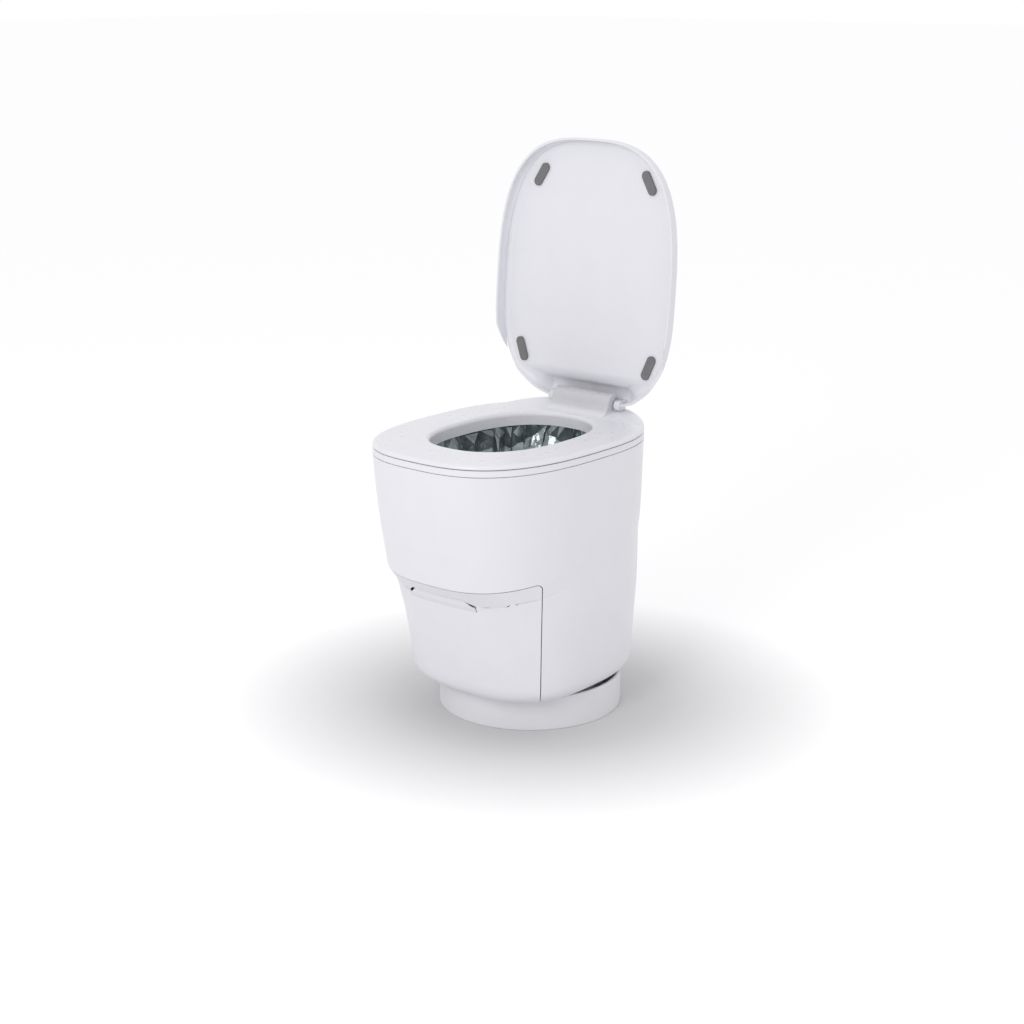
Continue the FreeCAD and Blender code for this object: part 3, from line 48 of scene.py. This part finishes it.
# Film liner, in metres: the bowl's mouth, the throat and the closed end
MOUTH = dict(half_width=0.1188, reach=0.1683, middle=-0.051)
THROAT = dict(half_width=0.0828, reach=0.0208, middle=-0.055)
END = dict(half_width=0.0775, reach=0.0025, middle=-0.055)
LEVELS = [(0.4892, MOUTH), (0.455, MOUTH), (0.338, THROAT), (0.292, END)]
OVAL_POWER = 2.4
FINE_FOLD = (0.03, 0.085)
BROAD_FOLD = (0.12, 0.26)
BROAD_ZONE = (2.5, 4.2)
DOWN_STEPS = 11
FOLD_DEPTH = 0.014
FOLD_STEEPNESS = 0.13
FOLD_LEAN = (-0.02, 0.035)
FOLD_SLIP = 0.4
RIDGE_PUSH = (0.5, 1.0)
VALLEY_PUSH = (0.0, 0.35)
FULL_FOLD_REACH = 0.05
LEAST_REACH_SHARE = 0.3
FILM_SEED = 7

# Tones and relief of the film
FILM_DARK = (0.13, 0.16, 0.17, 1.0)
FILM_PALE = (0.32, 0.36, 0.37, 1.0)
FILM_TONE_BAND = (0.3, 0.75)
FILM_TONE_SCALE = 55.0
FILM_CREASE_SCALE = 110.0
FILM_CREASE_STRETCH = 0.22
FILM_CREASE_STRENGTH = 0.35
FILM_CREASE_DEPTH = 0.004
FILM_POLISH_SCALE = 90.0
FILM_ROUGHNESS = (0.05, 0.14)
FILM_METALLIC = 0.7

# Moulded, milled and rubber surfaces
NOISE_BAND = (0.3, 0.7)
MOTTLE_BAND = (0.32, 0.68)
POLISH_SPREAD = 0.12
POLISH_SCALE = 2.3
GRAIN_SCALE = 900.0
GRAIN_DEPTH = 0.0004
EDGE_SAMPLES = 6

# Ramp of the seat over the hinge, in metres, and how far the painted shade darkens its colour there
RAMP_HALF_WIDTH = 0.0652
RAMP_LOW_Z = 0.517
RAMP_HIGH_Z = 0.528
RAMP_PAINTED_SHADE = 0.24

# Sockets of Blender's Mix node when it mixes colours
MIX_SHARE = 0
MIX_FROM = 6
MIX_WITH = 7
MIX_RESULT = 2

# Floor, in metres from its middle: where its painted shadow around the base fades out to pale, and how far
# the picture of it is lifted
FLOOR_SIZE = 80.0
FLOOR_PAINTED_SHADOW_FADE = (0.2, 0.6)
FLOOR_PAINTED_SHADOW_TONES = (0.66, 0.92)
LIFT_FADE = (0.25, 0.58)
LIFT_STRENGTH = 0.22

# Studio light
AMBIENT_COLOUR = (0.985, 0.985, 1.0, 1.0)
AMBIENT_STRENGTH = 0.84
KEY_PLACE = (0.6, -2.7, 2.0)
KEY_TARGET = (0, 0, 0.45)
KEY_SIZE = 1.1
KEY_POWER = 19.0

# Camera as the picture was taken
CAMERA_PLACE = (2.1204, -2.5678, 1.3003)
CAMERA_HEADING = 40.12
CAMERA_PITCH_DOWN = 15.85
CAMERA_LENS = 67.51
CAMERA_SENSOR = 36.0


def new_material(name):
    """New material with a Principled shader, with its node tree and shader."""
    material = bpy.data.materials.new(name)
    material.use_nodes = True
    tree = material.node_tree
    shader = tree.nodes["Principled BSDF"]
    return material, tree, shader


def add_noise(tree, scale, detail, roughness=0.55):
    """Noise in the object's own metres."""
    place = tree.nodes.new("ShaderNodeTexCoord")
    noise = tree.nodes.new("ShaderNodeTexNoise")
    noise.inputs["Scale"].default_value = scale
    noise.inputs["Detail"].default_value = detail
    noise.inputs["Roughness"].default_value = roughness
    tree.links.new(place.outputs["Object"], noise.inputs["Vector"])
    return noise


def add_range(tree, source, low, high):
    """Spread a noise over a range of values."""
    spread = tree.nodes.new("ShaderNodeMapRange")
    spread.inputs["From Min"].default_value = NOISE_BAND[0]
    spread.inputs["From Max"].default_value = NOISE_BAND[1]
    spread.inputs["To Min"].default_value = low
    spread.inputs["To Max"].default_value = high
    tree.links.new(source, spread.inputs["Value"])
    return spread.outputs["Result"]


def surface(name, colour, roughness, spread=0.02, scale=22.0, bump=0.02, metallic=0.0, edge=0.0):
    """Moulded, milled or rubber surface: mottled colour, uneven polish, fine grain and softened edges."""
    material, tree, shader = new_material(name)
    mottle = add_noise(tree, scale, 4.0)
    ramp = tree.nodes.new("ShaderNodeValToRGB")
    ramp.color_ramp.elements[0].position = MOTTLE_BAND[0]
    ramp.color_ramp.elements[1].position = MOTTLE_BAND[1]
    ramp.color_ramp.elements[0].color = tuple(c * (1 - spread) for c in colour) + (1.0,)
    ramp.color_ramp.elements[1].color = tuple(min(c * (1 + spread), 1.0) for c in colour) + (1.0,)
    tree.links.new(mottle.outputs["Fac"], ramp.inputs["Fac"])
    tree.links.new(ramp.outputs["Color"], shader.inputs["Base Color"])
    polish = add_noise(tree, scale * POLISH_SCALE, 3.0)
    smoothest = roughness * (1 - POLISH_SPREAD)
    roughest = roughness * (1 + POLISH_SPREAD)
    uneven = add_range(tree, polish.outputs["Fac"], smoothest, roughest)
    tree.links.new(uneven, shader.inputs["Roughness"])
    fine = add_noise(tree, GRAIN_SCALE, 2.0)
    relief = tree.nodes.new("ShaderNodeBump")
    relief.inputs["Strength"].default_value = bump
    relief.inputs["Distance"].default_value = GRAIN_DEPTH
    tree.links.new(fine.outputs["Fac"], relief.inputs["Height"])
    if edge > 0:
        soft = tree.nodes.new("ShaderNodeBevel")
        soft.samples = EDGE_SAMPLES
        soft.inputs["Radius"].default_value = edge
        tree.links.new(soft.outputs["Normal"], relief.inputs["Normal"])
    tree.links.new(relief.outputs["Normal"], shader.inputs["Normal"])
    shader.inputs["Metallic"].default_value = metallic
    return material


def paint_shade_on_hinge_ramp(material):
    """Painted shade on the seat's ramp over the hinge: its colour darkens as it climbs, standing in for the
    shade from the lid behind it.
    """
    tree = material.node_tree
    shader = tree.nodes["Principled BSDF"]
    colour = shader.inputs["Base Color"].links[0].from_socket
    place = tree.nodes.new("ShaderNodeTexCoord")
    split = tree.nodes.new("ShaderNodeSeparateXYZ")
    tree.links.new(place.outputs["Object"], split.inputs["Vector"])
    climb = tree.nodes.new("ShaderNodeMapRange")
    climb.interpolation_type = "SMOOTHSTEP"
    climb.inputs["From Min"].default_value = RAMP_LOW_Z
    climb.inputs["From Max"].default_value = RAMP_HIGH_Z
    climb.inputs["To Max"].default_value = RAMP_PAINTED_SHADE
    tree.links.new(split.outputs["Z"], climb.inputs["Value"])
    side = tree.nodes.new("ShaderNodeMath")
    side.operation = "ABSOLUTE"
    tree.links.new(split.outputs["X"], side.inputs[0])
    within = tree.nodes.new("ShaderNodeMath")
    within.operation = "LESS_THAN"
    within.inputs[1].default_value = RAMP_HALF_WIDTH
    tree.links.new(side.outputs["Value"], within.inputs[0])
    amount = tree.nodes.new("ShaderNodeMath")
    amount.operation = "MULTIPLY"
    tree.links.new(climb.outputs["Result"], amount.inputs[0])
    tree.links.new(within.outputs["Value"], amount.inputs[1])
    # painted shade: the ramp's colour is multiplied towards black
    blend = tree.nodes.new("ShaderNodeMix")
    blend.data_type = "RGBA"
    blend.blend_type = "MULTIPLY"
    blend.inputs[MIX_WITH].default_value = BLACK
    tree.links.new(amount.outputs["Value"], blend.inputs[MIX_SHARE])
    tree.links.new(colour, blend.inputs[MIX_FROM])
    tree.links.new(blend.outputs[MIX_RESULT], shader.inputs["Base Color"])


def film_surface():
    """Dark glossy film, smooth between its creases and a little uneven in tone."""
    material, tree, shader = new_material("liner film")
    mottle = add_noise(tree, FILM_TONE_SCALE, 5.0)
    ramp = tree.nodes.new("ShaderNodeValToRGB")
    ramp.color_ramp.elements[0].position = FILM_TONE_BAND[0]
    ramp.color_ramp.elements[1].position = FILM_TONE_BAND[1]
    ramp.color_ramp.elements[0].color = FILM_DARK
    ramp.color_ramp.elements[1].color = FILM_PALE
    tree.links.new(mottle.outputs["Fac"], ramp.inputs["Fac"])
    tree.links.new(ramp.outputs["Color"], shader.inputs["Base Color"])
    creases = add_noise(tree, FILM_CREASE_SCALE, 2.0)
    along = tree.nodes.new("ShaderNodeMapping")
    along.inputs["Scale"].default_value = (1.0, 1.0, FILM_CREASE_STRETCH)
    tree.links.new(creases.inputs["Vector"].links[0].from_socket, along.inputs["Vector"])
    tree.links.new(along.outputs["Vector"], creases.inputs["Vector"])
    relief = tree.nodes.new("ShaderNodeBump")
    relief.inputs["Strength"].default_value = FILM_CREASE_STRENGTH
    relief.inputs["Distance"].default_value = FILM_CREASE_DEPTH
    tree.links.new(creases.outputs["Fac"], relief.inputs["Height"])
    tree.links.new(relief.outputs["Normal"], shader.inputs["Normal"])
    polish = add_noise(tree, FILM_POLISH_SCALE, 3.0)
    tree.links.new(add_range(tree, polish.outputs["Fac"], *FILM_ROUGHNESS), shader.inputs["Roughness"])
    shader.inputs["Metallic"].default_value = FILM_METALLIC
    return material


def oval_point(turn, shape):
    """Point of a flattened oval in plan."""
    c = math.cos(turn)
    s = math.sin(turn)
    sum_of_powers = abs(c / shape["half_width"]) ** OVAL_POWER + abs(s / shape["reach"]) ** OVAL_POWER
    radius = sum_of_powers ** (-1.0 / OVAL_POWER)
    return radius * c, shape["middle"] + radius * s


def film_level(z):
    """Oval of the bowl at a height, between the stated levels."""
    above = max(index for index in range(len(LEVELS) - 1) if LEVELS[index][0] >= z - 1e-9)
    upper_z, upper = LEVELS[above]
    lower_z, lower = LEVELS[above + 1]
    mix = (upper_z - z) / (upper_z - lower_z)
    return {key: upper[key] * (1 - mix) + lower[key] * mix for key in upper}


def fold_lines(random):
    """Directions of the creases around the bowl, close together on one side and far apart on the other."""
    lines = [0.0]
    while lines[-1] < 2 * math.pi - BROAD_FOLD[0]:
        broad = BROAD_ZONE[0] < lines[-1] < BROAD_ZONE[1]
        lines.append(lines[-1] + random.uniform(*(BROAD_FOLD if broad else FINE_FOLD)))
    return lines


def film_mesh():
    """Crumpled film hanging in the bowl: flat facets between sharp creases, pushed in from the wall."""
    random = np.random.default_rng(FILM_SEED)
    lines = fold_lines(random)
    count = len(lines)
    top_z = LEVELS[0][0]
    end_z = LEVELS[-1][0]
    vertices = []
    lean = np.zeros(count)
    for row in range(DOWN_STEPS):
        lean += random.uniform(*FOLD_LEAN, count)
        inner = 0 < row < DOWN_STEPS - 1
        for step, line in enumerate(lines):
            slip = random.uniform(-FOLD_SLIP, FOLD_SLIP) if inner else 0.0
            z = top_z + (end_z - top_z) * (row + slip) / (DOWN_STEPS - 1)
            shape = film_level(z)
            x, y = oval_point(line + lean[step], shape)
            width = (lines[(step + 1) % count] - line) % (2 * math.pi)
            depth = min(FOLD_DEPTH, FOLD_STEEPNESS * width) * min(1.0, shape["reach"] / FULL_FOLD_REACH)
            push = random.uniform(*RIDGE_PUSH) if step % 2 else random.uniform(*VALLEY_PUSH)
            inward = depth * push if inner else 0.0
            reach = math.hypot(x, y - shape["middle"])
            keep = max(LEAST_REACH_SHARE, 1.0 - inward / reach)
            vertices.append((x * keep, shape["middle"] + (y - shape["middle"]) * keep, z))
    faces = []
    for row in range(DOWN_STEPS - 1):
        upper = row * count
        lower = upper + count
        for step in range(count):
            after = (step + 1) % count
            if random.uniform() < 0.5:
                faces.append((upper + step, lower + step, upper + after))
                faces.append((upper + after, lower + step, lower + after))
            else:
                faces.append((upper + step, lower + step, lower + after))
                faces.append((upper + step, lower + after, upper + after))
    last = (DOWN_STEPS - 1) * count
    faces.append(tuple(last + step for step in reversed(range(count))))
    mesh = bpy.data.meshes.new("crinkled_film")
    mesh.from_pydata(vertices, [], faces)
    mesh.update()
    return mesh


def picture_rays(tree):
    """One for rays that show the background itself: camera, reflection or a view through glass."""
    rays = tree.nodes.new("ShaderNodeLightPath")
    seen = rays.outputs["Is Camera Ray"]
    for kind in ("Is Glossy Ray", "Is Transmission Ray"):
        either = tree.nodes.new("ShaderNodeMath")
        either.operation = "MAXIMUM"
        tree.links.new(seen, either.inputs[0])
        tree.links.new(rays.outputs[kind], either.inputs[1])
        seen = either.outputs["Value"]
    return seen


def outwards(tree, start, end, low, high):
    """Value that changes with the distance from the middle of the floor."""
    spot = tree.nodes.new("ShaderNodeNewGeometry")
    away = tree.nodes.new("ShaderNodeVectorMath")
    away.operation = "LENGTH"
    tree.links.new(spot.outputs["Position"], away.inputs[0])
    change = tree.nodes.new("ShaderNodeMapRange")
    change.inputs["From Min"].default_value = start
    change.inputs["From Max"].default_value = end
    change.inputs["To Min"].default_value = low
    change.inputs["To Max"].default_value = high
    tree.links.new(away.outputs["Value"], change.inputs["Value"])
    return change.outputs["Result"]


def area_light(name, place, target, size, power):
    """Soft square light aimed at a point."""
    data = bpy.data.lights.new(name, "AREA")
    data.shape = "SQUARE"
    data.size = size
    data.energy = power
    light = bpy.data.objects.new(name, data)
    light.location = place
    light.rotation_euler = (Vector(target) - Vector(place)).to_track_quat("-Z", "Y").to_euler()
    scene.collection.objects.link(light)


# Materials
white = surface("white moulded plastic", (0.812, 0.812, 0.85), 0.34, spread=0.008, bump=0.03, edge=0.0007)
white_base = surface("white adapter plastic", (0.79, 0.79, 0.82), 0.42, spread=0.01, bump=0.04, edge=0.0008)
inner_white = surface("inner white plastic", (0.7, 0.71, 0.72), 0.5, spread=0.03, bump=0.05)
inner_grey = surface("inner grey plastic", (0.33, 0.34, 0.35), 0.55, spread=0.05, bump=0.08)
rubber = surface("dark grey rubber", (0.18, 0.18, 0.185), 0.7, spread=0.08, bump=0.12, edge=0.001)
steel = surface("plain steel", (0.6, 0.61, 0.62), 0.28, spread=0.05, bump=0.05, metallic=1.0)
aluminium = surface("milled aluminium", (0.72, 0.73, 0.74), 0.36, spread=0.05, bump=0.08, metallic=1.0)
brass = surface("brass", (0.66, 0.5, 0.22), 0.32, spread=0.06, bump=0.05, metallic=1.0)
slide = surface("slide plastic", (0.74, 0.73, 0.69), 0.45, spread=0.03, bump=0.04)
board = surface("circuit board", (0.03, 0.2, 0.09), 0.4, spread=0.2, scale=140.0, bump=0.1)
motor = surface("motor case", (0.06, 0.06, 0.065), 0.45, spread=0.1, bump=0.06)
foil = surface("heater foil", (0.5, 0.38, 0.27), 0.35, spread=0.08, bump=0.08, metallic=1.0)
black = surface("black socket plastic", (0.03, 0.03, 0.032), 0.5, spread=0.1, bump=0.06)
film = film_surface()
seat_white = surface("white seat plastic", (0.812, 0.812, 0.85), 0.3, spread=0.008, bump=0.03)
# painted shade on the ramp over the hinge
paint_shade_on_hinge_ramp(seat_white)

by_slot = {
    "white_shell": white, "white_inner": inner_white, "grey_inner": inner_grey, "film": film,
    "rubber_grey": rubber, "steel": steel, "aluminium": aluminium, "brass": brass, "slide_plastic": slide,
    "board_green": board, "motor_case": motor, "heater_foil": foil, "socket_black": black,
}
for entry in frame["record"]["subparts"]:
    piece = nodes[entry["node"]]
    piece.data.materials.clear()
    piece.data.materials.append(by_slot[entry["material_slot"]])
nodes["floor_adapter"].data.materials[0] = white_base
nodes["seat_ring"].data.materials[0] = seat_white

# Crinkled film in place of the plain liner
liner = bpy.data.objects.new("crinkled_film", film_mesh())
scene.collection.objects.link(liner)
liner.data.materials.append(film)
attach(liner, "housing")
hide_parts("liner_film")

# Floor that keeps the cast shadow, with a painted shadow darkening its colour around the base
bpy.ops.mesh.primitive_plane_add(size=FLOOR_SIZE, location=(0, 0, 0))
floor = bpy.context.object
floor.name = "floor"
floor_material, floor_tree, floor_shader = new_material("pale floor")
floor_tree.nodes.remove(floor_shader)
matt = floor_tree.nodes.new("ShaderNodeBsdfDiffuse")
# painted shadow: the floor's colour is darker near the base and pale farther out
floor_tree.links.new(outwards(floor_tree, *FLOOR_PAINTED_SHADOW_FADE, *FLOOR_PAINTED_SHADOW_TONES), matt.inputs["Color"])
lift = floor_tree.nodes.new("ShaderNodeEmission")
amount = floor_tree.nodes.new("ShaderNodeMath")
amount.operation = "MULTIPLY"
floor_tree.links.new(picture_rays(floor_tree), amount.inputs[0])
floor_tree.links.new(outwards(floor_tree, *LIFT_FADE, 0.0, LIFT_STRENGTH), amount.inputs[1])
floor_tree.links.new(amount.outputs["Value"], lift.inputs["Strength"])
both = floor_tree.nodes.new("ShaderNodeAddShader")
floor_tree.links.new(matt.outputs["BSDF"], both.inputs[0])
floor_tree.links.new(lift.outputs["Emission"], both.inputs[1])
floor_tree.links.new(both.outputs["Shader"], floor_tree.nodes["Material Output"].inputs["Surface"])
floor.data.materials.append(floor_material)

# Even studio light
world = bpy.data.worlds.new("studio")
scene.world = world
world.use_nodes = True
tree = world.node_tree
ambient = tree.nodes["Background"]
ambient.inputs["Color"].default_value = AMBIENT_COLOUR
ambient.inputs["Strength"].default_value = AMBIENT_STRENGTH
backdrop = tree.nodes.new("ShaderNodeBackground")
backdrop.inputs["Color"].default_value = WHITE
backdrop.inputs["Strength"].default_value = 1.0
choose = tree.nodes.new("ShaderNodeMixShader")
tree.links.new(picture_rays(tree), choose.inputs["Fac"])
tree.links.new(ambient.outputs["Background"], choose.inputs[1])
tree.links.new(backdrop.outputs["Background"], choose.inputs[2])
tree.links.new(choose.outputs["Shader"], tree.nodes["World Output"].inputs["Surface"])
area_light("key", KEY_PLACE, KEY_TARGET, KEY_SIZE, KEY_POWER)

# Camera
camera_data = bpy.data.cameras.new("camera")
camera_data.sensor_width = CAMERA_SENSOR
camera_data.lens = CAMERA_LENS
camera = bpy.data.objects.new("camera", camera_data)
camera.location = CAMERA_PLACE
camera.rotation_euler = (math.radians(90 - CAMERA_PITCH_DOWN), 0.0, math.radians(CAMERA_HEADING))
scene.collection.objects.link(camera)
scene.camera = camera
scene.view_settings.view_transform = "Standard"
